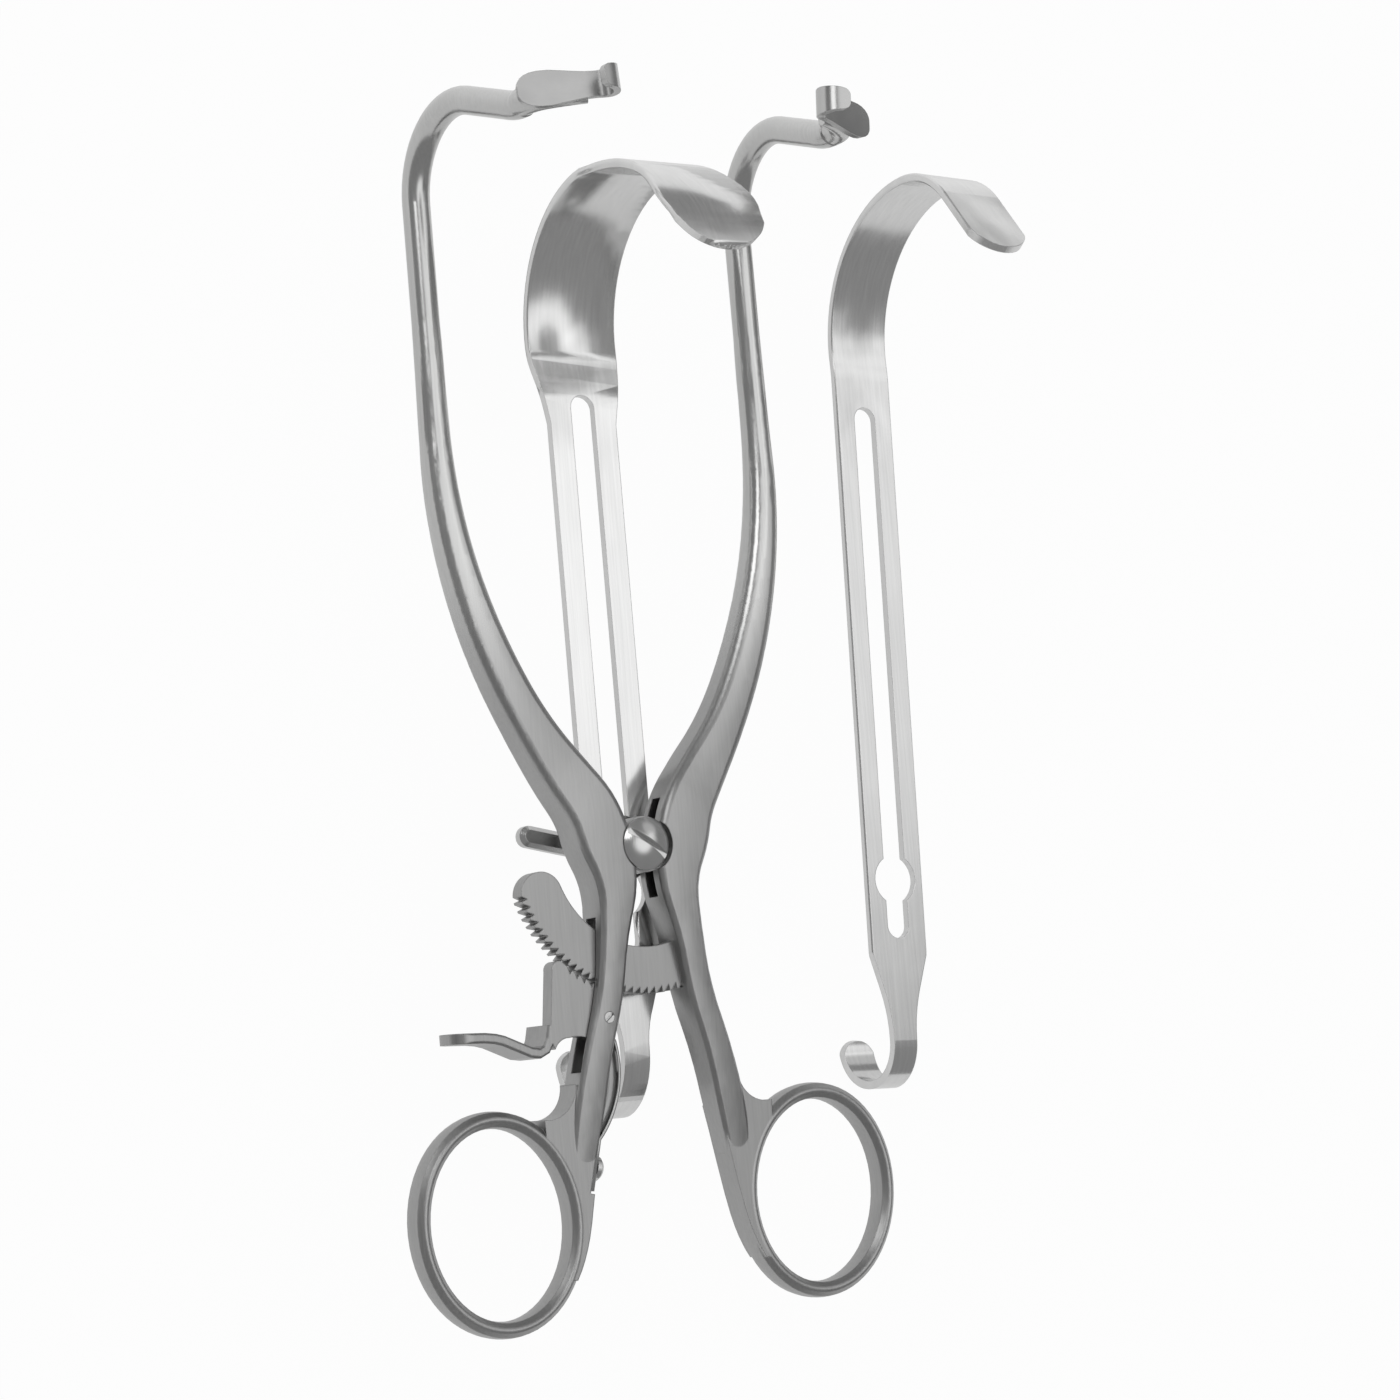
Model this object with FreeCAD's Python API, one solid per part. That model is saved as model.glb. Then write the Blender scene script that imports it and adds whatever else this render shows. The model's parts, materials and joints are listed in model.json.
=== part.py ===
import FreeCAD, Part
import math
import os

# Self retaining retractor, lying on its back. Millimetres.
# X across the instrument, Y along it towards the blades, Z towards the front.
# The origin is on the pivot axis, in the front face of the joint.
# A depth is a distance behind that face, so a point at depth d has z = -d.
# The right member is drawn; the left one is its mirror image apart from the joint.

# Clearances
RUN = 0.05                  # radial clearance of a shaft in its hole
SLIDE = 0.15                # side clearance of a blade, tongue or rack in its slot
FACE = 0.05                 # gap between flat faces that rub
PAST = 5.0                  # how far a cutting tool passes through a face

# Joint
JOINT_DEPTH = 9.4
CHEEK = 3.1                 # each cheek of the box
BOSS_R = 5.55               # round of cheeks and tongue
RECESS_R = 5.7              # round cut around the screw head
RECESS_DEPTH = 1.5
BOX_SLOT_R = 10.8           # saw cut that takes the tongue
HEAD_R = 5.25
HEAD_RIM = 0.9              # straight edge of the head
HEAD_DOME = 1.9             # height of the dome above that edge
DRIVER_SLOT_W = 1.2
DRIVER_SLOT_DEEP = 1.6
DRIVER_SLOT_TURN = -35.0
BOLT_R = 2.5
BOLT_TIP = 0.6              # chamfer of the stud's end, and how far it stays below the wings' face
WASHER_R = 6.5
WASHER_T = 1.5

# Handles: centre x, y, depth, heading, half width, half depth, corner radius
HANDLE = (
    (17.9, -61.0, 7.0, -13.0, 2.7, 3.02, 0.9),
    (15.5, -48.0, 6.2, -15.0, 3.3, 3.8, 1.0),
    (12.4, -36.0, 5.6, -15.0, 3.05, 4.1, 1.0),
    (9.7, -25.5, 5.2, -12.0, 3.0, 4.35, 1.0),
    (8.15, -15.5, 4.85, -4.0, 3.5, 4.55, 1.1),
    (7.3, -6.0, 4.7, 5.0, 4.9, 4.7, 1.3),
    (9.2, 2.0, 4.7, 19.0, 6.0, 4.7, 1.5),
    (11.6, 8.2, 4.75, 31.0, 5.8, 4.55, 1.6),
)

# Arms
ROD_R = 2.75
ROD_X = 37.35               # rod centre beside the centre blade
ROD_DEPTH = 5.1
BOW_R = 111.0               # bow of the arm
BOW_END = 80.0              # height at which the bow ends
# Heights, half widths, half depths and corners along the bow, from flat faces to nearly round
BOW_STEPS = (
    (13.0, 5.5, 4.4, 1.7),
    (21.0, 4.75, 4.2, 1.9),
    (37.0, 4.2, 3.9, 2.2),
    (54.0, 3.75, 3.65, 2.4),
    (69.0, 3.35, 3.35, 2.35),
)
ROD_STEPS = ((80.0, 3.1), (92.0, 2.9))  # heights and radii of the round taper
ROD_PLAIN = 104.0           # above this height the rod keeps its radius
TOP_R = 15.8                # bend that carries the rod to the front
TOP_Y = 143.0               # centre line at the top of that bend
TOP_LEAN = 3.5              # lean of the forward run towards the middle, degrees
FALL = 20.0                 # fall of the forward run, degrees
FALL_RUN = 15.5
LIFT_R = 13.0               # bend that levels it again
# The rod's end beyond that bend: inwards, forwards, turn, half height, half thickness
TIP_STEPS = (
    (0.0, -2.0, 0.0, 2.6, 2.6),
    (0.5, 3.4, 14.0, 2.7, 2.5),
    (3.6, 6.5, 50.0, 2.55, 1.5),
    (8.6, 8.9, 68.0, 2.1, 0.8),
)

# Finger rings
RING_X = 36.4
RING_Y = -70.6
RING_DEPTH = 7.0
RING_HALF_X = 14.9          # half sizes of the finger hole
RING_HALF_Y = 18.1
RING_TILT = 4.3
RING_BAND = 3.3             # radial width
RING_DEEP = 6.4
RING_CORNER = 1.1
RING_SWELL = 0.25

# Web between shank and ring: inner edge, and the notch that ends it above the ring
WEB_INNER = ((13.5, -52.0), (15.25, -61.0), (17.0, -70.0), (18.6, -76.2), (21.6, -82.6))
WEB_NOTCH = ((26.0, -51.8), (20.6, -50.2), (18.6, -45.5))
WEB_FRONT = 3.9
WEB_T = 6.2

# Side blades
SIDE_T = 1.4
SIDE_ROOT_OUT = 4.5         # the blade's root lies this far outside the end of the rod's last bend
SIDE_ROOT_AHEAD = 5.6       # and this far in front of it
SIDE_ANGLE = 20.9           # slant of the blade towards the front
SIDE_RUN = 15.2
SIDE_CURL_R = 2.9
SIDE_CURL = 150.0
SIDE_LIP = 1.8
SIDE_ROOT_W = 6.8
SIDE_BEND_W = 4.9
SIDE_LIP_W = 3.8
SIDE_ROOT_ROUND = 2.6       # how far the round of the root's end reaches along the blade
SIDE_EDGE = 0.3             # bevel on its long edges
SIDE_RISE = 4.0             # the blade climbs towards its lip by this angle

# Centre blade and spare blade
BLADE_T = 1.7
BLADE_SLOT_W = 5.4
CENTRE_SLOT_TOP = 91.9
SPARE_SLOT_TOP = 93.4
BLADE_SLOT_LOW = -20.9
KEYHOLE_Y = -8.5
KEYHOLE_R = 5.15
BLADE_EDGE = 0.3            # bevel on the long edges
BACK_BOW_R = 25.0           # backward bow below the hook
# Hooks: crest height, crest in front of the joint, outside radii before and after the
# crest, angle at which the second bend ends, straight run after it
CENTRE_HOOK = (131.9, 14.0, 28.5, 36.0, 19.5, 0.3)
SPARE_HOOK = (136.2, 17.0, 30.0, 19.0, 38.0, 17.5)
SHOULDER_Y = -22.7
WAIST_Y = -31.5
WAIST_HALF_W = 4.6
CENTRE_HALF_W = 10.3
CENTRE_SHANK_HALF_W = 7.6
CENTRE_FLARE = ((86.0, CENTRE_SHANK_HALF_W), (93.0, 8.9), (99.4, 10.0), (105.0, 10.5))
CENTRE_NECK_Y = -40.0       # where the finger hook starts to bend
CENTRE_FINGER_R = 13.0
CENTRE_LIP_ROUND = 6.5
NECK_HOLLOW = 0.45          # how far the neck's sides curve inwards
SPARE_HALF_W = 7.1
SPARE_NECK_Y = -42.4
SPARE_FINGER_R = 9.7
SPARE_LIP_ROUND = 5.4
FINGER_CURL = 6.0           # how far the finger hook stops short of its half circle, degrees
FINGER_HALF_W = 2.9
FINGER_TIP_HALF_W = 4.1
SPARE_X = 71.3
SPARE_BACK = 6.6            # the spare blade stands this far behind the centre blade
SPARE_TURN = -1.95

# Wing nut
NUT_R = 5.0
NUT_T = 3.7
WING_SPAN = 38.8
WING_W = 4.3
WING_T = 3.4
WING_TURN = -12.5
HUB_CHAMFER = 0.6
WING_CHAMFER = 0.9

# Ratchet
RACK_IN = 20.0
RACK_OUT = 29.2
RACK_T = 3.4
RACK_DEPTH = 5.0
RACK_ROOT_ANGLE = 21.0      # angle of the root from straight down, towards the right
RACK_FREE_ANGLE = 68.7      # angle of the round end's centre, towards the left
TOOTH_START_ANGLE = 15.0    # the first tooth's steep side
TOOTH_ANGLE = 3.4           # from tooth to tooth
TOOTH_SHARE = 0.85          # share of that angle that the slanting side takes
TOOTH_DEEP = 1.3
TOOTH_RUN = 0.2             # height over the rack at which a slanting side's line ends
TEETH = 26
PAWL_GAP = 0.3
PAWL_X, PAWL_Y = -11.25, -33.3
PAWL_PIN_R = 1.1
PAWL_TOP_ANGLES = (-22.5, -32.5, -42.5)     # the arc under the rack, counted as the rack's
PAWL_TOOTH_ANGLE = -23.0
PAWL_TOOTH_DEEP = 0.9
PAWL_TOOTH_RUN = -0.2
PAWL_TEETH = 5
# Outline of the pawl, on from the left end of that arc: left side, foot, tail, right side
PAWL_OUTLINE = (
    (-21.5, -22.1), (-22.1, -23.6), (-23.6, -36.6), (-22.7, -38.6), (-21.4, -37.1),
    (-19.4, -36.6), (-14.6, -37.2), (-11.4, -40.2), (-10.6, -40.1), (-10.05, -39.1), (-8.5, -33.0),
)
PAWL_SLOT_TOP = -13.8
PAWL_SLOT_LOW = -43.4
PAWL_SLOT_X = (-32.0, -2.0) # the slot is sawn right through the handle between these
PIN_FRONT = 1.35            # depth of the pawl pin's front end
PIN_LONG = 8.2
PIN_SLOT = 0.4              # width and depth of its driver slot
PIN_SLOT_TURN = 40.0
TAB_T = 2.0
TAB_W = 9.0
TAB_EDGE = 0.4
# Thumb tab: x, y and heading of the middle of its front edge
TAB = (
    (-22.9, -34.0, 258.0),
    (-23.5, -36.6, 252.0),
    (-24.5, -38.4, 222.0),
    (-26.0, -39.1, 185.0),
    (-27.8, -38.8, 163.0),
    (-33.6, -36.2, 158.0),
    (-35.4, -35.7, 165.0),
    (-37.6, -35.4, 176.0),
    (-44.6, -35.1, 180.0),
)

# Leaf spring and its screw, on the left handle's inner face; distances run down that face
FACE_TOP = (-9.35, -36.0, 5.9)
FACE_SLANT = 14.5
SPRING_T = 0.7
SPRING_W = 4.4
SPRING_EDGE = 0.2
SPRING_DOWN = (31.0, 21.0, 10.0, 1.5)   # foot's end, start of the bow, its crest, free end
SPRING_BOW = 2.6            # height of the bow over the face
SPRING_END_LIFT = 0.25      # the free end stays this far off the face, on the pawl's tail
SEAT_END = 0.5              # the milled seat reaches this far past the foot
SEAT_LONG = 12.0
SCREW_R = 1.1
SCREW_HEAD_R = 2.4
SCREW_HEAD_H = 1.5
SCREW_CHAMFER = 0.6
SCREW_DOWN = 26.5
SCREW_DEEP = 3.5

# Sections
SWELL = 0.12                # rise of the handles' faces over their corners
ROUND_SWELL = 1 - math.cos(math.radians(22.5))      # with these two a section is a circle
ROUND_CORNER = 1 - math.sin(math.radians(22.5))
CORNER_CUT = 1 - math.sqrt(0.5)     # a round corner's reach from its square one, by its radius
SWELL_CUT = CORNER_CUT * (1 - ROUND_CORNER) / ROUND_SWELL

XDIR = FreeCAD.Vector(1, 0, 0)
YDIR = FreeCAD.Vector(0, 1, 0)
ZDIR = FreeCAD.Vector(0, 0, 1)
ORIGIN = FreeCAD.Vector(0, 0, 0)


def at(x, y, depth=0.0):
    return FreeCAD.Vector(x, y, -depth)


def sin(angle):
    return math.sin(math.radians(angle))


def cos(angle):
    return math.cos(math.radians(angle))


def line(a, b):
    return Part.LineSegment(a, b).toShape()


def arc(a, middle, b):
    return Part.Arc(a, middle, b).toShape()


def arc_about(centre, u, v, radius, start, end):
    """Arc in the plane of unit directions u and v."""
    angles = (start, (start + end) / 2, end)
    a, m, b = [centre + u * (radius * cos(t)) + v * (radius * sin(t)) for t in angles]
    return arc(a, m, b)


def disc(x, y, radius, depth, length):
    """Cylinder along Z whose front face is at the given depth."""
    return Part.makeCylinder(radius, length, at(x, y, depth + length), ZDIR)


def section(centre, wide, deep, half_w, half_d, corner, swell):
    """Closed wire: a rectangle with round corners and slightly swollen sides."""
    cut = CORNER_CUT * corner + SWELL_CUT * swell

    def on(sign_w, sign_d, less_w, less_d):
        return centre + wide * (sign_w * (half_w - less_w)) + deep * (sign_d * (half_d - less_d))

    edges = []
    for sw, sd in ((1, 1), (-1, -1)):
        a, b = on(sw, -sd, swell, corner), on(sw, sd, swell, corner)
        c, d = on(sw, sd, corner, swell), on(-sw, sd, corner, swell)
        e = on(-sw, sd, swell, corner)
        edges += [arc(a, on(sw, 0, 0, 0), b), arc(b, on(sw, sd, cut, cut), c)]
        edges += [arc(c, on(0, sd, 0, 0), d), arc(d, on(-sw, sd, cut, cut), e)]
    return Part.Wire(edges)


def round_section(centre, wide, deep, radius):
    return section(centre, wide, deep, radius, radius, ROUND_CORNER * radius, ROUND_SWELL * radius)


def bevelled(centre, wide, deep, half_w, half_d, edge):
    """Closed wire: a rectangle with bevelled corners."""
    corners = []
    for sw, sd in ((1, 1), (-1, 1), (-1, -1), (1, -1)):
        on_side = centre + wide * (sw * half_w) + deep * (sd * (half_d - edge))
        on_face = centre + wide * (sw * (half_w - edge)) + deep * (sd * half_d)
        corners += [on_side, on_face] if sw == sd else [on_face, on_side]
    return Part.makePolygon(corners + corners[:1])


def plan_prism(points, front, length):
    """Solid between straight lines through (x, y) points, from a depth backwards."""
    corners = [at(x, y, front + length) for x, y in points]
    return Part.Face(Part.makePolygon(corners + corners[:1])).extrude(ZDIR * length)


def sweep(edges, profile):
    return Part.Wire(edges).makePipeShell([profile], True, False)


def mirrored(shape):
    return shape.mirror(ORIGIN, XDIR)


def station(x, y, depth, heading, half_w, half_d, corner):
    wide = FreeCAD.Vector(cos(heading), -sin(heading), 0)
    return section(at(x, y, depth), wide, ZDIR, half_w, half_d, corner, SWELL)


def loft(wires):
    return Part.makeLoft(wires, True, False, False, 2)


def bow_stations():
    """Sections of the arm along its bow, from flat near the joint to round."""
    wires = []
    for y, half_w, half_d, corner in BOW_STEPS:
        heading = math.degrees(math.asin((BOW_END - y) / BOW_R))
        x = ROD_X - BOW_R * (1 - cos(heading))
        wires.append(station(x, y, ROD_DEPTH, heading, half_w, half_d, corner))
    for y, radius in ROD_STEPS + ((ROD_PLAIN, ROD_R),):
        wires.append(round_section(at(ROD_X, y, ROD_DEPTH), XDIR, ZDIR, radius))
    return wires


def rod_path():
    """Middle line of the round rod: up, over the top bend, falling to the front, and level again."""
    ahead = FreeCAD.Vector(-sin(TOP_LEAN), 0, cos(TOP_LEAN))
    foot = at(ROD_X, ROD_PLAIN, ROD_DEPTH)
    bend = at(ROD_X, TOP_Y - TOP_R, ROD_DEPTH)
    centre = bend + ahead * TOP_R
    edges = [line(foot, bend), arc_about(centre, ahead, YDIR, TOP_R, 180, 90 - FALL)]
    crest_end = centre + ahead * (TOP_R * sin(FALL)) + YDIR * (TOP_R * cos(FALL))
    down = ahead * cos(FALL) - YDIR * sin(FALL)
    low = crest_end + down * FALL_RUN
    edges.append(line(crest_end, low))
    lift = low + ahead * (LIFT_R * sin(FALL)) + YDIR * (LIFT_R * cos(FALL))
    edges.append(arc_about(lift, ahead, YDIR, LIFT_R, 270 - FALL, 270))
    return edges, lift - YDIR * LIFT_R


def rod_tip(level):
    """The rod's end turns inwards, flattens and runs out along the back of the side blade."""
    wires = []
    for inward, ahead, turn, half_h, half_t in TIP_STEPS:
        centre = level - XDIR * inward + ZDIR * ahead
        across = FreeCAD.Vector(cos(turn), 0, sin(turn))
        corner, swell = ROUND_CORNER * half_t, ROUND_SWELL * half_t
        wires.append(section(centre, across, YDIR, half_t, half_h, corner, swell))
    return loft(wires)


def ring():
    """Finger ring, a rounded band round an oval, and the space inside its middle line."""
    centre = at(RING_X, RING_Y, RING_DEPTH)
    up = FreeCAD.Vector(sin(RING_TILT), cos(RING_TILT), 0)
    side = FreeCAD.Vector(cos(RING_TILT), -sin(RING_TILT), 0)
    half_x, half_y = RING_HALF_X + RING_BAND / 2, RING_HALF_Y + RING_BAND / 2
    oval = Part.Ellipse(centre + up * half_y, centre + side * half_x, centre).toShape()
    start = oval.valueAt(oval.FirstParameter)
    out = start - centre
    out.normalize()
    band = section(start, out, ZDIR, RING_BAND / 2, RING_DEEP / 2, RING_CORNER, RING_SWELL)
    inside = Part.Face(Part.Wire([oval])).extrude(ZDIR * (2 * RING_DEEP))
    inside.translate(ZDIR * -RING_DEEP)
    return Part.Wire([oval]).makePipeShell([band], True, False), inside


def web():
    """Flat web between the shank and the near side of the ring."""
    low = WEB_FRONT + WEB_T
    inner = Part.BSplineCurve()
    inner.interpolate([at(x, y, low) for x, y in WEB_INNER])
    (x0, y0), (x1, y1) = WEB_INNER[0], WEB_INNER[-1]
    notch = [at(x, y, low) for x, y in WEB_NOTCH]
    in_band = at(x1 + RING_BAND, y1, low)
    edges = [
        inner.toShape(),
        line(at(x1, y1, low), in_band),
        line(in_band, notch[0]),
        arc(*notch),
        line(notch[2], at(x0, y0, low)),
    ]
    return Part.Face(Part.Wire(edges)).extrude(ZDIR * WEB_T)


def plain_member():
    """Handle, ring and arm as one forging, before the joint is cut."""
    wires = [station(*step) for step in HANDLE] + bow_stations()
    body = loft(wires)
    edges, level = rod_path()
    rod_circle = Part.Circle(edges[0].Vertexes[0].Point, YDIR, ROD_R)
    top = sweep(edges, Part.Wire([rod_circle.toShape()]))
    band, inside = ring()
    body = body.fuse([top, rod_tip(level), band, web().cut(inside)])
    return body.cut(side_blade()).removeSplitter()


def bolt_hole():
    return disc(0, 0, BOLT_R + RUN, -PAST, JOINT_DEPTH + 2 * PAST)


def right_member(plain):
    """Box half: two cheeks with the saw cut for the tongue between them."""
    boss = disc(0, 0, BOSS_R, 0, JOINT_DEPTH)
    cut = disc(0, 0, BOX_SLOT_R, CHEEK, JOINT_DEPTH - 2 * CHEEK)
    head_recess = disc(0, 0, RECESS_R, -PAST, PAST + RECESS_DEPTH)
    return plain.fuse(boss).cut([cut, head_recess, bolt_hole(), rack_blank()]).removeSplitter()


def left_member(plain):
    """Tongue half, slotted for the rack and the pawl."""
    tongue = disc(0, 0, BOSS_R, CHEEK + SLIDE, JOINT_DEPTH - 2 * (CHEEK + SLIDE))
    cheeks = [
        disc(0, 0, RECESS_R, -PAST, PAST + CHEEK + SLIDE),
        disc(0, 0, RECESS_R, JOINT_DEPTH - CHEEK - SLIDE, CHEEK + PAST),
    ]
    body = mirrored(plain).cut(cheeks).fuse(tongue)
    slot_w = RACK_T + 2 * SLIDE
    slot = Part.makeBox(PAWL_SLOT_X[1] - PAWL_SLOT_X[0], PAWL_SLOT_TOP - PAWL_SLOT_LOW, slot_w)
    slot.translate(at(PAWL_SLOT_X[0], PAWL_SLOT_LOW, RACK_DEPTH + slot_w / 2))
    pin_hole = disc(PAWL_X, PAWL_Y, PAWL_PIN_R, -PAST, PIN_LONG + 2 * PAST)
    return body.cut([slot, pin_hole, bolt_hole(), spring_seat(), spring_screw_shank()]).removeSplitter()


def pivot_screw():
    """Domed head, driver slot, and a shank that carries on as the stud for the blades."""
    rim = RECESS_DEPTH - HEAD_RIM
    top = rim - HEAD_DOME
    head = disc(0, 0, HEAD_R, rim, HEAD_RIM - FACE)
    ball_r = (HEAD_R ** 2 + HEAD_DOME ** 2) / (2 * HEAD_DOME)
    ball = Part.makeSphere(ball_r, at(0, 0, top + ball_r))
    dome = ball.common(disc(0, 0, HEAD_R, top - PAST, HEAD_DOME + PAST))
    slot = Part.makeBox(4 * HEAD_R, DRIVER_SLOT_W, PAST)
    slot.translate(FreeCAD.Vector(-2 * HEAD_R, -DRIVER_SLOT_W / 2, 0))
    slot.rotate(ORIGIN, ZDIR, DRIVER_SLOT_TURN)
    slot.translate(at(0, 0, top + DRIVER_SLOT_DEEP))
    stud = disc(0, 0, BOLT_R, rim, stud_end() - rim)
    tip = Part.makeCone(BOLT_R, BOLT_R - BOLT_TIP, BOLT_TIP, at(0, 0, stud_end()), ZDIR * -1)
    return head.fuse([dome, stud, tip]).cut(slot).removeSplitter()


def blade_front():
    return JOINT_DEPTH + WASHER_T


def nut_front():
    return blade_front() + BLADE_T + FACE


def stud_end():
    return nut_front() + NUT_T + WING_T - BOLT_TIP


def spacer_washer():
    ring_body = disc(0, 0, WASHER_R, JOINT_DEPTH + FACE, WASHER_T - 2 * FACE)
    return ring_body.cut(bolt_hole())


def wing_nut():
    hub = disc(0, 0, NUT_R, nut_front(), NUT_T + WING_T)
    hub = hub.makeChamfer(HUB_CHAMFER, [e for e in hub.Edges if len(e.Vertexes) == 1])
    reach = WING_SPAN / 2 - WING_W / 2
    centre_depth = nut_front() + NUT_T + WING_T / 2
    bar = Part.makeBox(2 * reach, WING_W, WING_T, at(-reach, -WING_W / 2, centre_depth + WING_T / 2))
    ends = [disc(s * reach, 0, WING_W / 2, centre_depth - WING_T / 2, WING_T) for s in (-1, 1)]
    bar = bar.fuse(ends).removeSplitter()
    bar = bar.makeChamfer(WING_CHAMFER, [e for e in bar.Edges if abs(e.tangentAt(e.FirstParameter).z) < 0.5])
    bar.rotate(ORIGIN, ZDIR, WING_TURN)
    thread = disc(0, 0, BOLT_R + RUN, nut_front() - PAST, NUT_T + WING_T + 2 * PAST)
    return hub.fuse(bar).cut(thread).removeSplitter()


def blade_path(hook, neck_y, finger_r):
    """Centre line of a blade in the plane x = 0: finger hook, shank, bow, big hook, lip."""
    crest_y, crest_front, r1, r2, bend_end, lip_run = hook
    back = blade_front() + BLADE_T
    half = BLADE_T / 2
    finger_c = at(0, neck_y, blade_front() + finger_r)
    edges = [arc_about(finger_c, ZDIR, YDIR, finger_r - half, 180 - FINGER_CURL, 360)]
    crest_1 = at(0, crest_y - r1, -crest_front)
    reach = r1 - crest_front - back
    rise = math.sqrt(reach * (2 * r1 - reach + 2 * BACK_BOW_R))
    bow_c = at(0, crest_1.y - rise, back + BACK_BOW_R)
    lean = math.degrees(math.asin(rise / (r1 + BACK_BOW_R)))
    edges.append(line(at(0, neck_y, back - half), at(0, bow_c.y, back - half)))
    edges.append(arc_about(bow_c, ZDIR, YDIR, BACK_BOW_R + half, 0, lean))
    edges.append(arc_about(crest_1, ZDIR, YDIR, r1 - half, 180 + lean, 90))
    crest_2 = at(0, crest_y - r2, -crest_front)
    edges.append(arc_about(crest_2, ZDIR, YDIR, r2 - half, 90, bend_end))
    bend = crest_2 + ZDIR * ((r2 - half) * cos(bend_end)) + YDIR * ((r2 - half) * sin(bend_end))
    lip = bend + (ZDIR * sin(bend_end) - YDIR * cos(bend_end)) * lip_run
    return edges + [line(bend, lip)]


def round_end(end, outward, across, half_w, rise):
    """Tool that rounds the end of a strip whose width lies along the direction across."""
    normal = across.cross(outward)
    reach = 2 * half_w
    corner = end - across * reach - outward * rise - normal * reach
    block = Part.makeBox(2 * reach, 2 * reach, 2 * reach)
    block.Placement = FreeCAD.Placement(corner, FreeCAD.Rotation(across, outward, normal))
    radius = (half_w ** 2 + rise ** 2) / (2 * rise)
    keep = Part.makeCylinder(radius, 3 * reach, end - outward * radius - normal * (1.5 * reach), normal)
    return block.cut(keep)


def shank_sides(neck_y, shank_half_w, flare):
    """Tools that cut a strip down to the outline of the shank, neck and shoulders."""
    wide = 2 * CENTRE_HALF_W
    low = blade_front() + BLADE_T + PAST
    corners = [at(FINGER_HALF_W, neck_y - wide, low), at(FINGER_HALF_W, neck_y, low)]
    corners += [at(WAIST_HALF_W, WAIST_Y, low), at(shank_half_w, SHOULDER_Y, low)]
    hollow = at((FINGER_HALF_W + WAIST_HALF_W) / 2 - NECK_HOLLOW, (neck_y + WAIST_Y) / 2, low)
    edges = [line(corners[0], corners[1]), arc(corners[1], hollow, corners[2]), line(corners[2], corners[3])]
    top = corners[3]
    if flare:
        foot = at(flare[0][1], flare[0][0], low)
        edges.append(line(top, foot))
        curve = Part.BSplineCurve()
        curve.interpolate([at(x, y, low) for y, x in flare])
        edges.append(curve.toShape())
        top = at(flare[-1][1], flare[-1][0], low)
    outside = [top, at(wide, top.y, low), at(wide, neck_y - wide, low), corners[0]]
    edges += [line(a, b) for a, b in zip(outside, outside[1:])]
    right = Part.Face(Part.Wire(edges)).extrude(ZDIR * (BLADE_T + 2 * PAST))
    return [right, mirrored(right)]


def finger_sides(neck_y, finger_r):
    """Tools that let the finger hook widen from its neck to its tip."""
    wide = 2 * CENTRE_HALF_W
    near, far = blade_front() + BLADE_T + PAST, blade_front() + 2 * finger_r + BLADE_T
    rows = ((FINGER_HALF_W, near), (FINGER_TIP_HALF_W, far), (wide, far), (wide, near))
    corners = [at(x, neck_y - 2 * finger_r, depth) for x, depth in rows]
    right = Part.Face(Part.makePolygon(corners + corners[:1])).extrude(YDIR * (3 * finger_r))
    return [right, mirrored(right)]


def blade(hook, half_w, shank_half_w, flare, slot_top, neck_y, finger_r, lip_round):
    """Strip bent along its path, cut to outline, with the bolt slot and its keyhole."""
    edges = blade_path(hook, neck_y, finger_r)
    start = edges[0].valueAt(edges[0].FirstParameter)
    along = edges[0].tangentAt(edges[0].FirstParameter)
    strip = sweep(edges, bevelled(start, XDIR, XDIR.cross(along), half_w, BLADE_T / 2, BLADE_EDGE))
    lip = edges[-1].valueAt(edges[-1].LastParameter)
    lip_along = edges[-1].tangentAt(edges[-1].LastParameter)
    tools = shank_sides(neck_y, shank_half_w, flare) + finger_sides(neck_y, finger_r)
    tools.append(round_end(start, along * -1, XDIR, FINGER_TIP_HALF_W, FINGER_TIP_HALF_W))
    tools.append(round_end(lip, lip_along, XDIR, half_w, lip_round))
    return strip.cut(tools).cut(blade_slot(slot_top))


def blade_slot(slot_top):
    half = BLADE_SLOT_W / 2
    front, length = blade_front() - PAST, BLADE_T + 2 * PAST
    low, top = BLADE_SLOT_LOW + half, slot_top - half
    slot = Part.makeBox(2 * half, top - low, length, at(-half, low, front + length))
    ends = [disc(0, y, half, front, length) for y in (low, top)]
    return slot.fuse(ends + [disc(0, KEYHOLE_Y, KEYHOLE_R, front, length)])


def polar(radius, angle):
    """Point round the pivot; the angle is counted from straight down, positive to the right."""
    return radius * sin(angle), -radius * cos(angle)


def rack_blank():
    """Sector of the rack without teeth, round at its free end."""
    front = RACK_DEPTH - RACK_T / 2
    base = at(0, 0, front + RACK_T)
    root_in, root_out = [at(*polar(r, RACK_ROOT_ANGLE), front + RACK_T) for r in (RACK_IN, RACK_OUT)]
    start, end = RACK_ROOT_ANGLE - 90, -RACK_FREE_ANGLE - 90
    inner = arc_about(base, XDIR, YDIR, RACK_IN, start, end)
    outer = arc_about(base, XDIR, YDIR, RACK_OUT, end, start)
    middle_r, end_r = (RACK_IN + RACK_OUT) / 2, (RACK_OUT - RACK_IN) / 2
    tip = at(*polar(middle_r, -RACK_FREE_ANGLE), front + RACK_T)
    free_end = arc_about(tip, XDIR, YDIR, end_r, end - 180, end)
    edges = [line(root_out, root_in), inner, free_end, outer]
    return Part.Face(Part.Wire(Part.__sortEdges__(edges))).extrude(ZDIR * RACK_T)


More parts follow.
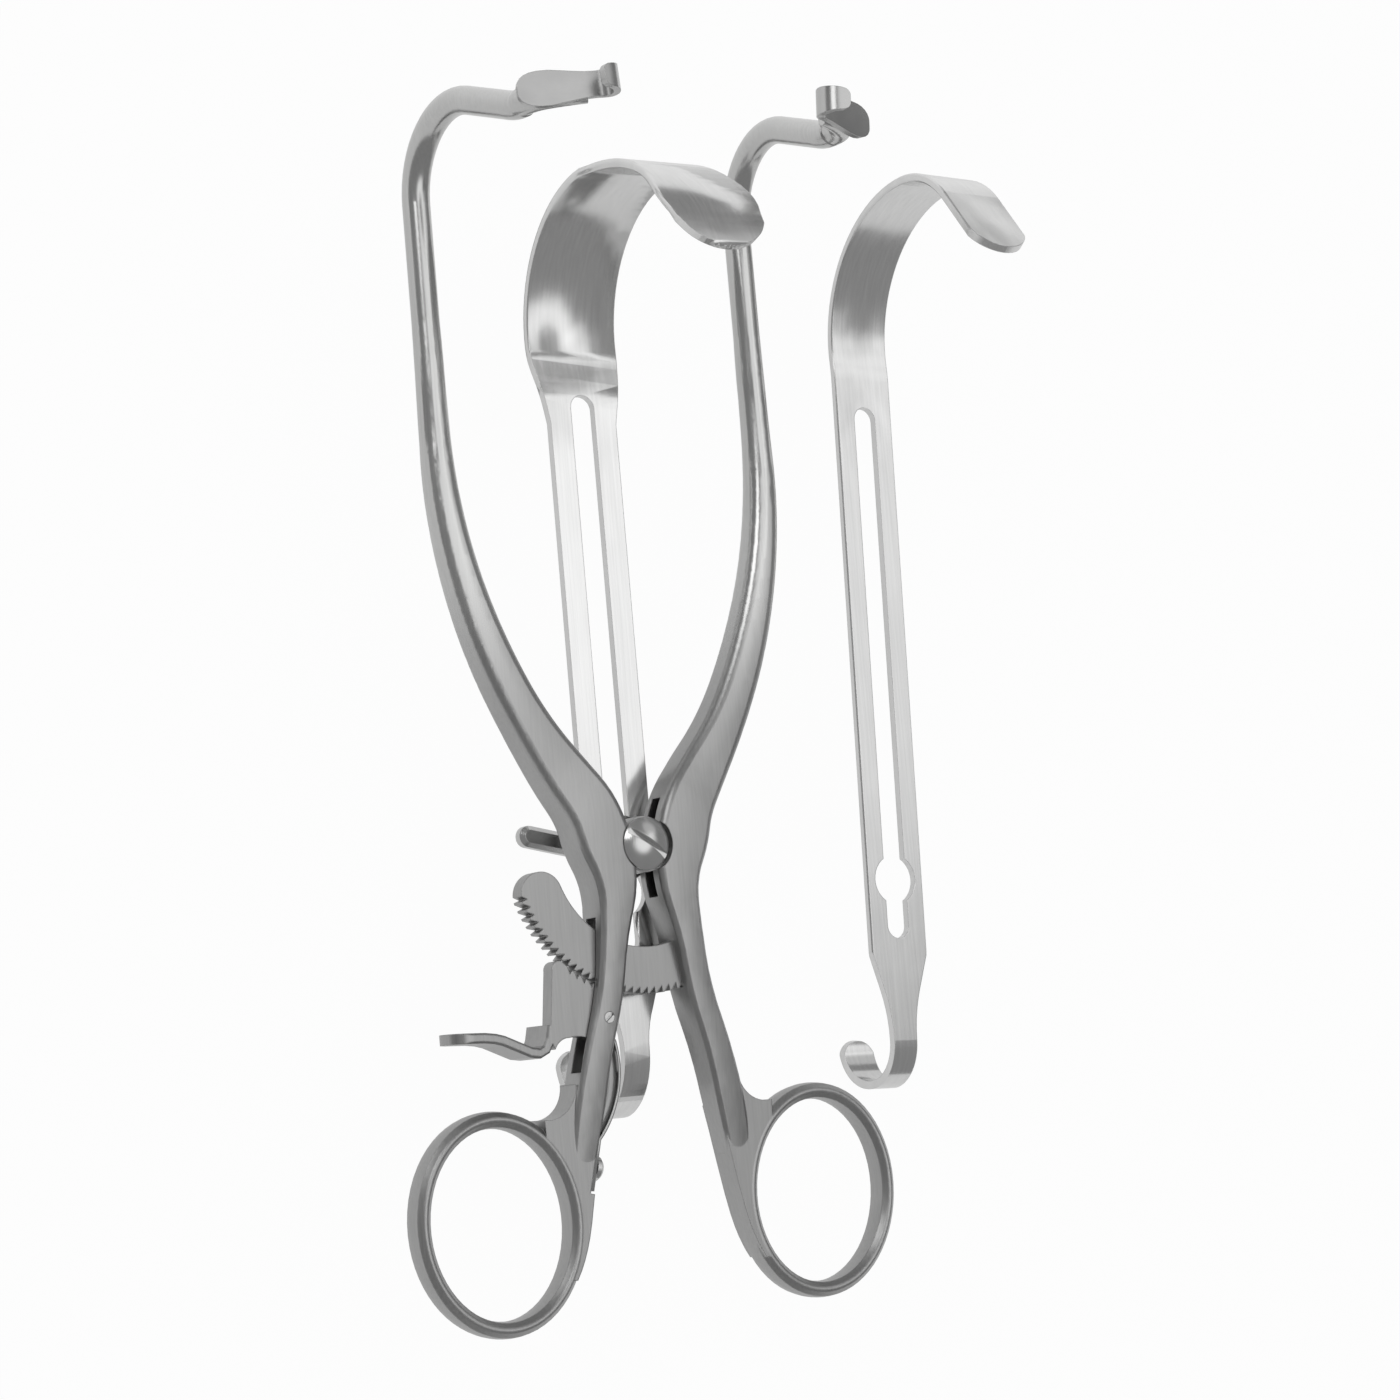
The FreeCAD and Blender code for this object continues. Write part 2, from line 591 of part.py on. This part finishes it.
def notches(count, first, low_r, high_r, run_r):
    """Saw-tooth gaps between two radii, each with a steep side and a slanting side."""
    gaps = []
    for i in range(count):
        steep = first - i * TOOTH_ANGLE
        corners = (polar(high_r, steep), polar(low_r, steep), polar(run_r, steep - TOOTH_SHARE * TOOTH_ANGLE))
        gaps.append(plan_prism(corners, RACK_DEPTH - RACK_T, 2 * RACK_T))
    return gaps


def ratchet_rack():
    """Rack with saw teeth whose steep sides face its root."""
    low_r, high_r = RACK_OUT - TOOTH_DEEP, RACK_OUT + TOOTH_DEEP
    return rack_blank().cut(notches(TEETH, TOOTH_START_ANGLE, low_r, high_r, RACK_OUT + TOOTH_RUN))


def pawl():
    """Flat pawl under the rack, with a bent thumb tab."""
    front = RACK_DEPTH - RACK_T / 2
    low = front + RACK_T
    top_r = RACK_OUT + PAWL_GAP
    right, middle, left = [at(*polar(top_r, angle), low) for angle in PAWL_TOP_ANGLES]
    points = [at(x, y, low) for x, y in PAWL_OUTLINE]
    edges = [arc(right, middle, left), arc(left, points[0], points[1]), line(points[1], points[2])]
    edges.append(line(points[2], points[3]))
    for i in range(3, 9, 2):
        edges.append(arc(*points[i:i + 3]))
    edges += [line(points[9], points[10]), line(points[10], right)]
    plate = Part.Face(Part.Wire(edges)).extrude(ZDIR * RACK_T)
    tools = notches(PAWL_TEETH, PAWL_TOOTH_ANGLE, top_r + PAWL_TOOTH_DEEP, RACK_OUT, top_r + PAWL_TOOTH_RUN)
    tools.append(disc(PAWL_X, PAWL_Y, PAWL_PIN_R + RUN, -PAST, PIN_LONG + 2 * PAST))
    return plate.cut(tools).fuse(thumb_tab()).removeSplitter()


def thumb_tab():
    """Strip that leaves the pawl's lower corner in an S and ends in a thumb rest."""
    wires = []
    for x, y, heading in TAB:
        across = FreeCAD.Vector(-sin(heading), cos(heading), 0)
        middle = at(x, y, RACK_DEPTH - RACK_T / 2 + TAB_W / 2)
        wires.append(bevelled(middle, across, ZDIR, TAB_T / 2, TAB_W / 2, TAB_EDGE))
    strip = Part.makeLoft(wires, True, True)
    return strip.cut(round_end(middle, XDIR * -1, ZDIR, TAB_W / 2, TAB_W / 2))


def pawl_pin():
    pin = disc(PAWL_X, PAWL_Y, PAWL_PIN_R, PIN_FRONT, PIN_LONG)
    corner = at(PAWL_X - 2 * PAWL_PIN_R, PAWL_Y - PIN_SLOT / 2, PIN_FRONT + PIN_SLOT)
    slot = Part.makeBox(4 * PAWL_PIN_R, PIN_SLOT, 2 * PIN_SLOT, corner)
    slot.rotate(at(PAWL_X, PAWL_Y), ZDIR, PIN_SLOT_TURN)
    return pin.cut(slot)


def face_frame():
    """Point and directions of the left handle's inner face by the spring."""
    along = FreeCAD.Vector(-sin(FACE_SLANT), -cos(FACE_SLANT), 0)
    out = FreeCAD.Vector(cos(FACE_SLANT), -sin(FACE_SLANT), 0)
    return at(*FACE_TOP), along, out


def spring_seat():
    """Flat milled on the handle for the spring's foot."""
    start, along, out = face_frame()
    seat = Part.makeBox(PAST, SEAT_LONG, SEAT_LONG)
    corner = start + along * (SPRING_DOWN[0] + SEAT_END) - ZDIR * (SEAT_LONG / 2)
    seat.Placement = FreeCAD.Placement(corner, FreeCAD.Rotation(out, along * -1, ZDIR))
    return seat


def pawl_spring():
    """Bowed leaf: its foot is screwed to the handle, its end bears on the pawl's tail."""
    start, along, out = face_frame()
    lifts = (0, 0, SPRING_BOW, SPRING_END_LIFT)
    path = [start + along * down + out * (SPRING_T / 2 + lift) for down, lift in zip(SPRING_DOWN, lifts)]
    edges = [line(*path[:2]), arc(*path[1:])]
    profile = bevelled(path[0], out, ZDIR, SPRING_T / 2, SPRING_W / 2, SPRING_EDGE)
    leaf = Part.Wire(edges).makePipeShell([profile], True, True, 2)
    return leaf.cut(spring_screw_shank())


def spring_screw_shank():
    start, along, out = face_frame()
    return Part.makeCylinder(SCREW_R, SCREW_DEEP + PAST, start + along * SCREW_DOWN - out * SCREW_DEEP, out)


def spring_screw():
    start, along, out = face_frame()
    seat = start + along * SCREW_DOWN + out * SPRING_T
    head = Part.makeCylinder(SCREW_HEAD_R, SCREW_HEAD_H, seat, out)
    head = head.makeChamfer(SCREW_CHAMFER, [head.Edges[0]])
    deep = SCREW_DEEP + SPRING_T
    shank = Part.makeCylinder(SCREW_R, deep + SCREW_HEAD_H / 3, seat - out * deep, out)
    return head.fuse(shank).removeSplitter()


def side_blade():
    """Strip that curls outwards: root on the rod, a run to the front, and a short lip."""
    run = FreeCAD.Vector(-cos(SIDE_ANGLE), 0, sin(SIDE_ANGLE))
    front = FreeCAD.Vector(sin(SIDE_ANGLE), 0, cos(SIDE_ANGLE))
    level = rod_path()[1]
    root = level + XDIR * SIDE_ROOT_OUT + ZDIR * SIDE_ROOT_AHEAD
    bend = root + run * SIDE_RUN
    centre = bend + front * SIDE_CURL_R
    curl = arc_about(centre, run, front, SIDE_CURL_R, -90, SIDE_CURL - 90)
    lip = curl.valueAt(curl.LastParameter)
    edges = [line(root, bend), curl, line(lip, lip + curl.tangentAt(curl.LastParameter) * SIDE_LIP)]
    half = SIDE_ROOT_W / 2
    strip = sweep(edges, bevelled(root, front, YDIR, SIDE_T / 2, half, SIDE_EDGE))
    high, wide = lip.z + 2 * PAST, half + PAST
    rows = [(wide, root.z - PAST), (half + SIDE_EDGE, root.z - PAST), (half, root.z)]
    rows += [(SIDE_BEND_W / 2, bend.z), (SIDE_LIP_W / 2, lip.z), (SIDE_LIP_W / 2, high), (wide, high)]
    tools = []
    for side in (-1, 1):
        corners = [FreeCAD.Vector(0, root.y + side * y, z) for y, z in rows]
        tools.append(Part.Face(Part.makePolygon(corners + corners[:1])).extrude(XDIR * (2 * root.x)))
    tools.append(round_end(root, run * -1, YDIR, half, SIDE_ROOT_ROUND))
    blade_body = strip.cut(tools)
    blade_body.rotate(root, ZDIR, -SIDE_RISE)
    return blade_body


def main():
    os.makedirs("parts", exist_ok=True)
    plain = plain_member()
    right_blade = side_blade()
    centre = blade(CENTRE_HOOK, CENTRE_HALF_W, CENTRE_SHANK_HALF_W, CENTRE_FLARE,
                   CENTRE_SLOT_TOP, CENTRE_NECK_Y, CENTRE_FINGER_R, CENTRE_LIP_ROUND)
    spare = blade(SPARE_HOOK, SPARE_HALF_W, SPARE_HALF_W + BLADE_EDGE, (),
                  SPARE_SLOT_TOP, SPARE_NECK_Y, SPARE_FINGER_R, SPARE_LIP_ROUND)
    spare.rotate(ORIGIN, ZDIR, SPARE_TURN)
    spare.translate(at(SPARE_X, 0, SPARE_BACK))
    nodes = {
        "right_member": right_member(plain),
        "left_member": left_member(plain),
        "right_side_blade": right_blade,
        "left_side_blade": mirrored(right_blade),
        "pivot_screw": pivot_screw(),
        "spacer_washer": spacer_washer(),
        "centre_blade": centre,
        "wing_nut": wing_nut(),
        "ratchet_rack": ratchet_rack(),
        "pawl": pawl(),
        "pawl_pin": pawl_pin(),
        "pawl_spring": pawl_spring(),
        "spring_screw": spring_screw(),
        "spare_blade": spare,
    }
    for name, shape in nodes.items():
        shape.exportStep("parts/" + name + ".step")
        print(name, "solids", len(shape.Solids), "valid", shape.isValid(), "volume", round(shape.Volume, 1))


main()
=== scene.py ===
import json
import math

import bmesh
import bpy
from mathutils import Euler, Matrix, Vector


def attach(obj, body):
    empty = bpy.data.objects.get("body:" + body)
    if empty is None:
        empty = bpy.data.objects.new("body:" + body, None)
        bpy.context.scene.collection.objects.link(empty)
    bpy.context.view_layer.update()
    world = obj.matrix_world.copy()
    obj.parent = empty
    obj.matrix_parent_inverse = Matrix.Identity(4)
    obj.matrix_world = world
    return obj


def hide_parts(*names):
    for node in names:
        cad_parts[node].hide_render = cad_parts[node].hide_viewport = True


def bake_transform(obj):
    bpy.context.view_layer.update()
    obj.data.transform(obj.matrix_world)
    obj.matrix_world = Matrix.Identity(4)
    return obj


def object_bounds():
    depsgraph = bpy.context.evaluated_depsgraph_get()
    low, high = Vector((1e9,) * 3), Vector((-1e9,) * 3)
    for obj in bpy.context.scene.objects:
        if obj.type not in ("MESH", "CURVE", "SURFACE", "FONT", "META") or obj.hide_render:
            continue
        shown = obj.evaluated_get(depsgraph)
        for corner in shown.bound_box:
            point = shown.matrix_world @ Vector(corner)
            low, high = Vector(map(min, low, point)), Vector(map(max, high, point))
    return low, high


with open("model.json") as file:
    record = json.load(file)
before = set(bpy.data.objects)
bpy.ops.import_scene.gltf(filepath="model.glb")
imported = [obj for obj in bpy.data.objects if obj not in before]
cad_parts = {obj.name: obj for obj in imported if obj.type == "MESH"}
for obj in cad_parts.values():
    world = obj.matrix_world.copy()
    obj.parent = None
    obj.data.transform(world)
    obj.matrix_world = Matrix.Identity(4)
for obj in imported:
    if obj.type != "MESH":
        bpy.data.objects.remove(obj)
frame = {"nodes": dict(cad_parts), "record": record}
cad_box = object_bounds()

# Metres throughout. The instrument lies on its back on a pale table, front upwards.
MM = 0.001
MICROMETRE = 0.000001

# Camera, as in the photograph: seen from the front, about 33 degrees to the left
CAMERA_PLACE = Vector((-338.65, -46.06, 551.35)) * MM
CAMERA_TURN = (9.62, -31.963, -5.91)
SENSOR_MM = 36.0
LENS_MM = 85.11

# Table under the instrument
TABLE_SIZE = 6.0
TABLE_GAP = 0.0002          # below the lowest points of the instrument
TABLE_COLOUR = (0.88, 0.88, 0.88)
TABLE_GLOW = 0.96           # share of plain white in what the camera sees of the table
TABLE_SHEEN = 0.55          # and in what the steel mirrors of it, as painted glow
FAR_SHEEN = 0.40            # painted light: more glow in the steel's reflections beyond the blades, where the light falls in
FAR_START = 0.12
FAR_END = 0.24

# Studio: direction, full out to the first angle and gone beyond the second, and strength
ROOM_GREY = 0.30
OVERHEAD = ((0.10, 0.05, 0.99), 17.0, 31.0)
OVERHEAD_STRENGTH = 0.95
SCREEN = ((0.565, 0.24, 0.785), 8.0, 16.0)
SCREEN_STRENGTH = 0.65
KEY_PLACE = (-0.75, 0.75, 0.95)
FILL_PLACE = (0.75, 0.85, 0.85)

PIVOT = Vector((0.0, 0.0, 0.0))
TOOL_MARKS = 24000.0        # radians per metre outwards on turned pieces
CRISP = 30.0                # edges sharper than this stay crisp, in degrees

# Lip of the centre blade: the axis it is bent about, and where its width changes, as the share
# of the width, the middle of that place in degrees about the axis, and its reach either way
LIP_CENTRE_Y = 95.9 * MM
LIP_CENTRE_Z = 14.0 * MM
LIP_WAIST = (-0.16, 72.0, 34.0)
LIP_FULL = (0.05, 42.0, 14.0)
LIP_ROUND = (-0.05, 29.5, 9.0)
LIP_CHANGES = (LIP_WAIST, LIP_FULL, LIP_ROUND)

# Side blades: a leaf-shaped strip from a round root on the rod to a curled lip
LEAF_ROOT = Vector((39.395, 135.962, 40.640)) * MM
LEAF_SLANT = math.radians(20.9)
LEAF_RISE = math.radians(4.0)
LEAF_THICK = 1.4 * MM
LEAF_EDGE = 0.35 * MM
LEAF_EDGE_FACES = 3
LEAF_EDGE_ANGLE = math.radians(50.0)
LEAF_ACROSS = 8             # faces across the strip
CURL_RADIUS = 2.9 * MM
CURL_STEP = math.radians(15.0)
# Steps of the strip in millimetres: how far, and the half width there
LEAF_RUN = ((0.0, 0.8), (0.2, 1.5), (0.5, 2.2), (0.8, 2.75), (1.1, 3.15), (1.4, 3.36), (2.2, 3.36),
            (2.3, 3.06), (2.3, 2.74), (2.2, 2.48), (2.2, 2.42))
CURL_HALF_WIDTHS = (2.5, 2.6, 2.68, 2.7, 2.68, 2.6, 2.5, 2.4, 2.3, 2.2)
LEAF_LIP = ((0.7, 2.06), (0.5, 1.8), (0.35, 1.4), (0.2, 0.9))


class Wire:
    """A socket of a shader that takes part in plain arithmetic."""

    def __init__(self, finish, socket):
        self.finish = finish
        self.socket = socket

    def maths(self, operation, *operands):
        return self.finish.add("ShaderNodeMath", {"operation": operation}, operands)

    def __add__(self, other):
        return self.maths("ADD", self, other)

    def __sub__(self, other):
        return self.maths("SUBTRACT", self, other)

    def __rsub__(self, other):
        return self.maths("SUBTRACT", other, self)

    def __mul__(self, other):
        return self.maths("MULTIPLY", self, other)

    def __truediv__(self, other):
        return self.maths("DIVIDE", self, other)

    __radd__ = __add__
    __rmul__ = __mul__


class Finish:
    """The nodes of one material or of the world."""

    def __init__(self, tree):
        self.tree = tree
        self.tree.nodes.clear()

    def add(self, kind, settings=None, inputs=(), output=0):
        """Adds a node: its settings first, then the values or links of its sockets."""
        node = self.tree.nodes.new(kind)
        for name, value in (settings or {}).items():
            setattr(node, name, value)
        items = inputs.items() if isinstance(inputs, dict) else enumerate(inputs)
        for key, value in items:
            if isinstance(value, Wire):
                self.tree.links.new(value.socket, node.inputs[key])
            else:
                node.inputs[key].default_value = value
        return Wire(self, node.outputs[output]) if node.outputs else None

    def place(self, stretch):
        """Object coordinates in metres, stretched along each axis."""
        coordinates = self.add("ShaderNodeTexCoord", output="Object")
        return self.add("ShaderNodeVectorMath", {"operation": "MULTIPLY"}, (coordinates, stretch))

    def noise(self, stretch, detail=2.0, rough=0.5):
        inputs = {"Vector": self.place(stretch), "Scale": 1.0, "Detail": detail, "Roughness": rough}
        return self.add("ShaderNodeTexNoise", {"noise_dimensions": "3D"}, inputs, "Fac")

    def along(self, axis, start, end):
        """0 before start and 1 after end, smoothly, along one axis in metres."""
        coordinates = self.add("ShaderNodeTexCoord", output="Object")
        value = self.add("ShaderNodeSeparateXYZ", None, (coordinates,), axis)
        inputs = {"Value": value, "From Min": start, "From Max": end}
        return self.add("ShaderNodeMapRange", {"interpolation_type": "SMOOTHSTEP"}, inputs)

    def from_axis(self, centre):
        """Distance from the line along Z through a point."""
        coordinates = self.add("ShaderNodeTexCoord", output="Object")
        offset = self.add("ShaderNodeVectorMath", {"operation": "SUBTRACT"}, (coordinates, centre))
        flat = self.add("ShaderNodeVectorMath", {"operation": "MULTIPLY"}, (offset, (1.0, 1.0, 0.0)))
        return self.add("ShaderNodeVectorMath", {"operation": "LENGTH"}, (flat,), "Value")

    def blend(self, factor, dark, light):
        """Colour between two colours."""
        inputs = {"Factor": factor, 6: (*dark, 1.0), 7: (*light, 1.0)}
        return self.add("ShaderNodeMix", {"data_type": "RGBA"}, inputs, 2)

    def steel(self, colour, rough, relief, edge):
        """Bare steel; the relief is in micrometres, and edges look rounded by the given radius."""
        rounded = self.add("ShaderNodeBevel", {"samples": 4}, {"Radius": edge})
        bumps = {"Strength": 1.0, "Distance": MICROMETRE, "Height": relief, "Normal": rounded}
        normal = self.add("ShaderNodeBump", None, bumps)
        inputs = {"Base Color": colour, "Metallic": 1.0, "Roughness": rough, "Normal": normal}
        shader = self.add("ShaderNodeBsdfPrincipled", None, inputs)
        self.add("ShaderNodeOutputMaterial", None, (shader,))


def material(name):
    made = bpy.data.materials.new(name)
    made.use_nodes = True
    return made, Finish(made.node_tree)


def satin_steel():
    """Handles and joint brushed lengthways; the rods above are brighter."""
    made, finish = material("satin_steel_brushed")
    cloud = finish.noise((60.0, 35.0, 60.0), 3.0)
    streaks = finish.noise((2600.0, 90.0, 2600.0), 2.0)
    grain = finish.noise((5000.0, 900.0, 5000.0), 1.0)
    bright = finish.along("Y", 0.020, 0.062)
    tone = cloud * 0.35 + streaks * 0.35 + bright * 0.45
    colour = finish.blend(tone, (0.275, 0.275, 0.275), (0.60, 0.60, 0.595))
    rough = 0.35 - bright * 0.13 + (cloud - 0.5) * 0.12 + (streaks - 0.5) * 0.10
    finish.steel(colour, rough, streaks * 5.0 + grain * 3.0 + cloud * (45.0 - bright * 33.0), 0.00035)
    return made


def blade_steel():
    """Flat strip, finely brushed along its length, with a clean bright ground."""
    made, finish = material("blade_steel_fine")
    cloud = finish.noise((45.0, 30.0, 45.0), 2.0)
    waves = finish.noise((85.0, 60.0, 60.0), 1.5)
    hook = finish.along("Y", 0.072, 0.094)
    streaks = finish.noise((1900.0, 35.0, 300.0), 3.0)
    colour = finish.blend(cloud * 0.45 + streaks * 0.55, (0.55, 0.55, 0.55), (0.82, 0.82, 0.815))
    rough = 0.17 + hook * 0.06 + (cloud - 0.5) * 0.10 + (streaks - 0.5) * 0.08
    finish.steel(colour, rough, streaks * 4.0 + waves * (60.0 + hook * 500.0), 0.00025)
    return made


def polished_steel():
    made, finish = material("polished_steel_bright")
    cloud = finish.noise((120.0, 120.0, 120.0), 3.0)
    streaks = finish.noise((400.0, 3000.0, 400.0), 2.0)
    colour = finish.blend(cloud, (0.36, 0.36, 0.36), (0.56, 0.56, 0.555))
    rough = 0.25 + (cloud - 0.5) * 0.10 + (streaks - 0.5) * 0.04
    dents = finish.noise((150.0, 150.0, 150.0), 0.0)
    finish.steel(colour, rough, dents * 40.0, 0.0001)
    return made


def turned_steel():
    """Turned pieces on the pivot axis, with fine circular tool marks."""
    made, finish = material("turned_steel")
    cloud = finish.noise((160.0, 160.0, 160.0), 3.0)
    radius = finish.from_axis(PIVOT)
    rings = finish.add("ShaderNodeMath", {"operation": "SINE"}, (radius * TOOL_MARKS,))
    colour = finish.blend(cloud, (0.50, 0.50, 0.50), (0.66, 0.66, 0.655))
    rough = 0.20 + (cloud - 0.5) * 0.12 + rings * 0.02
    finish.steel(colour, rough, rings * 2.0, 0.0002)
    return made


STEELS = {
    "satin_steel": satin_steel(),
    "blade_steel": blade_steel(),
    "polished_steel": polished_steel(),
    "screw_steel": turned_steel(),
}
for entry in frame["record"]["subparts"]:
    piece = frame["nodes"][entry["node"]]
    for holder in piece.material_slots:
        holder.material = STEELS[entry["material_slot"]]


def shape_of(node):
    """Copy of a CAD piece's mesh with its triangles joined."""
    shape = bmesh.new()
    shape.from_mesh(frame["nodes"][node].data)
    bmesh.ops.remove_doubles(shape, verts=shape.verts, dist=MICROMETRE)
    return shape


def piece_for(node, name, shape, slot, sharp=180.0):
    """Smooth piece that stands for a CAD node; edges sharper than so many degrees stay crisp."""
    mesh = bpy.data.meshes.new(name)
    shape.to_mesh(mesh)
    shape.free()
    mesh.shade_smooth()
    mesh.set_sharp_from_angle(angle=math.radians(sharp))
    mesh.materials.append(STEELS[slot])
    piece = bpy.data.objects.new(name, mesh)
    bpy.context.collection.objects.link(piece)
    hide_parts(node)
    return piece


def leaf_spring():
    """Smooth copy of the pawl's leaf spring, its placing baked into the mesh."""
    piece = piece_for("pawl_spring", "bending_leaf", shape_of("pawl_spring"), "polished_steel", CRISP)
    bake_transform(piece)


def bell(value, middle, reach):
    """1 at the middle and 0 beyond the reach, smoothly."""
    share = (value - middle) / reach
    return max(0.0, 1.0 - share * share) ** 2


def centre_blade():
    """The lip narrows behind the crest of the hook and ends in a fuller round."""
    shape = shape_of("centre_blade")
    for vert in shape.verts:
        height, front = vert.co.y - LIP_CENTRE_Y, vert.co.z - LIP_CENTRE_Z
        if height > 0.0 and front > 0.0:
            turn = math.degrees(math.atan2(height, front))
            change = sum(share * bell(turn, middle, reach) for share, middle, reach in LIP_CHANGES)
            vert.co.x *= 1.0 + change
    piece = piece_for("centre_blade", "hooked_centre_blade", shape, "blade_steel", CRISP)
    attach(piece, "centre_blade")


def put_in_order(shape):
    """Numbers vertices, edges and faces by their places, so that every run gives the same mesh."""
    orders = (
        (shape.verts, lambda vert: vert.co[:]),
        (shape.edges, lambda edge: sorted(vert.co[:] for vert in edge.verts)),
        (shape.faces, lambda face: face.calc_center_median()[:]),
    )
    for parts, place in orders:
        for number, part in enumerate(sorted(parts, key=place)):
            part.index = number
        parts.sort()


def side_blade(name, side, body):
    """Strip drawn out row by row from its root, with a waist, and curled at its lip."""
    run = Vector((-side * math.cos(LEAF_SLANT), 0.0, math.sin(LEAF_SLANT)))
    front = Vector((side * math.sin(LEAF_SLANT), 0.0, math.cos(LEAF_SLANT)))
    root = Vector((side * LEAF_ROOT.x, LEAF_ROOT.y, LEAF_ROOT.z))
    curl_axis = run.cross(front)
    to_root = Matrix.Translation(-root)
    shape = bmesh.new()
    across = [2.0 * i / LEAF_ACROSS - 1.0 for i in range(LEAF_ACROSS + 1)]
    row = [shape.verts.new(root + Vector((0.0, LEAF_RUN[0][1] * MM * share, 0.0))) for share in across]
    edges = [shape.edges.new(pair) for pair in zip(row, row[1:])]
    half = LEAF_RUN[0][1]

    def draw_out(half_width):
        nonlocal row, edges, half
        made = bmesh.ops.extrude_edge_only(shape, edges=edges)["geom"]
        row = [part for part in made if isinstance(part, bmesh.types.BMVert)]
        new_edges = [part for part in made if isinstance(part, bmesh.types.BMEdge)]
        edges = [edge for edge in new_edges if set(row).issuperset(edge.verts)]
        bmesh.ops.scale(shape, vec=(1.0, half_width / half, 1.0), space=to_root, verts=row)
        half = half_width

    for step, half_width in LEAF_RUN[1:]:
        draw_out(half_width)
        bmesh.ops.translate(shape, vec=run * step * MM, verts=row)
    centre = root + run * sum(step for step, _ in LEAF_RUN) * MM + front * CURL_RADIUS
    turn = Matrix.Rotation(CURL_STEP, 3, curl_axis)
    for half_width in CURL_HALF_WIDTHS:
        draw_out(half_width)
        bmesh.ops.rotate(shape, cent=centre, matrix=turn, verts=row)
    along = Matrix.Rotation(CURL_STEP * len(CURL_HALF_WIDTHS), 3, curl_axis) @ run
    for step, half_width in LEAF_LIP:
        draw_out(half_width)
        bmesh.ops.translate(shape, vec=along * step * MM, verts=row)
    rise = Matrix.Rotation(-side * LEAF_RISE, 3, "Z")
    bmesh.ops.rotate(shape, cent=root, matrix=rise, verts=shape.verts)
    bmesh.ops.recalc_face_normals(shape, faces=shape.faces)
    put_in_order(shape)
    piece = piece_for(name, name + "_leaf", shape, "polished_steel")
    wall = piece.modifiers.new("thickness", "SOLIDIFY")
    wall.thickness = LEAF_THICK
    wall.offset = 0.0
    bevel = piece.modifiers.new("edges", "BEVEL")
    bevel.width = LEAF_EDGE
    bevel.segments = LEAF_EDGE_FACES
    bevel.profile = 0.5
    bevel.limit_method = "ANGLE"
    bevel.angle_limit = LEAF_EDGE_ANGLE
    bevel.harden_normals = True
    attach(piece, body)


def floor():
    """Pale table that keeps a faint shadow and shows as plain white; in the steel's reflections it
    glows with painted light, more beyond the blades.
    """
    shape = bmesh.new()
    bmesh.ops.create_grid(shape, x_segments=1, y_segments=1, size=TABLE_SIZE / 2)
    bmesh.ops.translate(shape, vec=(0.0, 0.0, cad_box[0].z - TABLE_GAP), verts=shape.verts)
    mesh = bpy.data.meshes.new("table_top")
    shape.to_mesh(mesh)
    shape.free()
    made, finish = material("pale_table")
    camera = finish.add("ShaderNodeLightPath", output="Is Camera Ray")
    glossy = finish.add("ShaderNodeLightPath", output="Is Glossy Ray")
    diffuse = finish.add("ShaderNodeBsdfDiffuse", None, {"Color": (*TABLE_COLOUR, 1.0)})
    glow = finish.add("ShaderNodeEmission", None, {"Color": (1.0, 1.0, 1.0, 1.0), "Strength": 1.0})
    # painted light: the table glows in what the steel mirrors of it, brighter beyond the blades
    sheen = glossy * (TABLE_SHEEN + finish.along("Y", FAR_START, FAR_END) * FAR_SHEEN)
    shader = finish.add("ShaderNodeMixShader", None, (camera * TABLE_GLOW + sheen, diffuse, glow))
    finish.add("ShaderNodeOutputMaterial", None, (shader,))
    mesh.materials.append(made)
    top = bpy.data.objects.new("table_top", mesh)
    bpy.context.collection.objects.link(top)


def towards(finish, way, inner, outer):
    """1 within inner degrees of a direction and 0 beyond outer degrees."""
    view = finish.add("ShaderNodeTexCoord", output="Generated")
    unit = Vector(way).normalized()
    cosine = finish.add("ShaderNodeVectorMath", {"operation": "DOT_PRODUCT"}, (view, unit), "Value")
    inputs = {
        "Value": cosine,
        "From Min": math.cos(math.radians(outer)),
        "From Max": math.cos(math.radians(inner)),
    }
    return finish.add("ShaderNodeMapRange", {"interpolation_type": "SMOOTHSTEP"}, inputs)


def studio():
    """Grey room with a large soft light straight above and a small bright screen beside it."""
    world = bpy.data.worlds.new("studio")
    world.use_nodes = True
    bpy.context.scene.world = world
    finish = Finish(world.node_tree)
    overhead = towards(finish, *OVERHEAD) * OVERHEAD_STRENGTH
    screen = towards(finish, *SCREEN) * SCREEN_STRENGTH
    room = ROOM_GREY + overhead + screen
    camera = finish.add("ShaderNodeLightPath", output="Is Camera Ray")
    strength = camera + (1 - camera) * room
    light = {"Color": (1.0, 1.0, 1.0, 1.0), "Strength": strength}
    surround = finish.add("ShaderNodeBackground", None, light)
    finish.add("ShaderNodeOutputWorld", None, (surround,))


def lamp(name, place, size, power):
    data = bpy.data.lights.new(name, "AREA")
    data.shape = "DISK"
    data.size = size
    data.energy = power
    thing = bpy.data.objects.new(name, data)
    thing.location = place
    thing.rotation_euler = (-Vector(place)).to_track_quat("-Z", "Y").to_euler()
    bpy.context.collection.objects.link(thing)


def camera():
    data = bpy.data.cameras.new("camera")
    data.sensor_width = SENSOR_MM
    data.lens = LENS_MM
    data.clip_start, data.clip_end = 0.01, 20.0
    thing = bpy.data.objects.new("camera", data)
    thing.location = CAMERA_PLACE
    thing.rotation_euler = Euler([math.radians(a) for a in CAMERA_TURN], "XYZ")
    bpy.context.collection.objects.link(thing)
    bpy.context.scene.camera = thing


leaf_spring()
centre_blade()
side_blade("right_side_blade", 1, "right_arm")
side_blade("left_side_blade", -1, "left_arm")
floor()
studio()
lamp("key", KEY_PLACE, 0.7, 2.4)
lamp("fill", FILL_PLACE, 0.9, 0.7)
camera()
bpy.context.scene.view_settings.view_transform = "Standard"
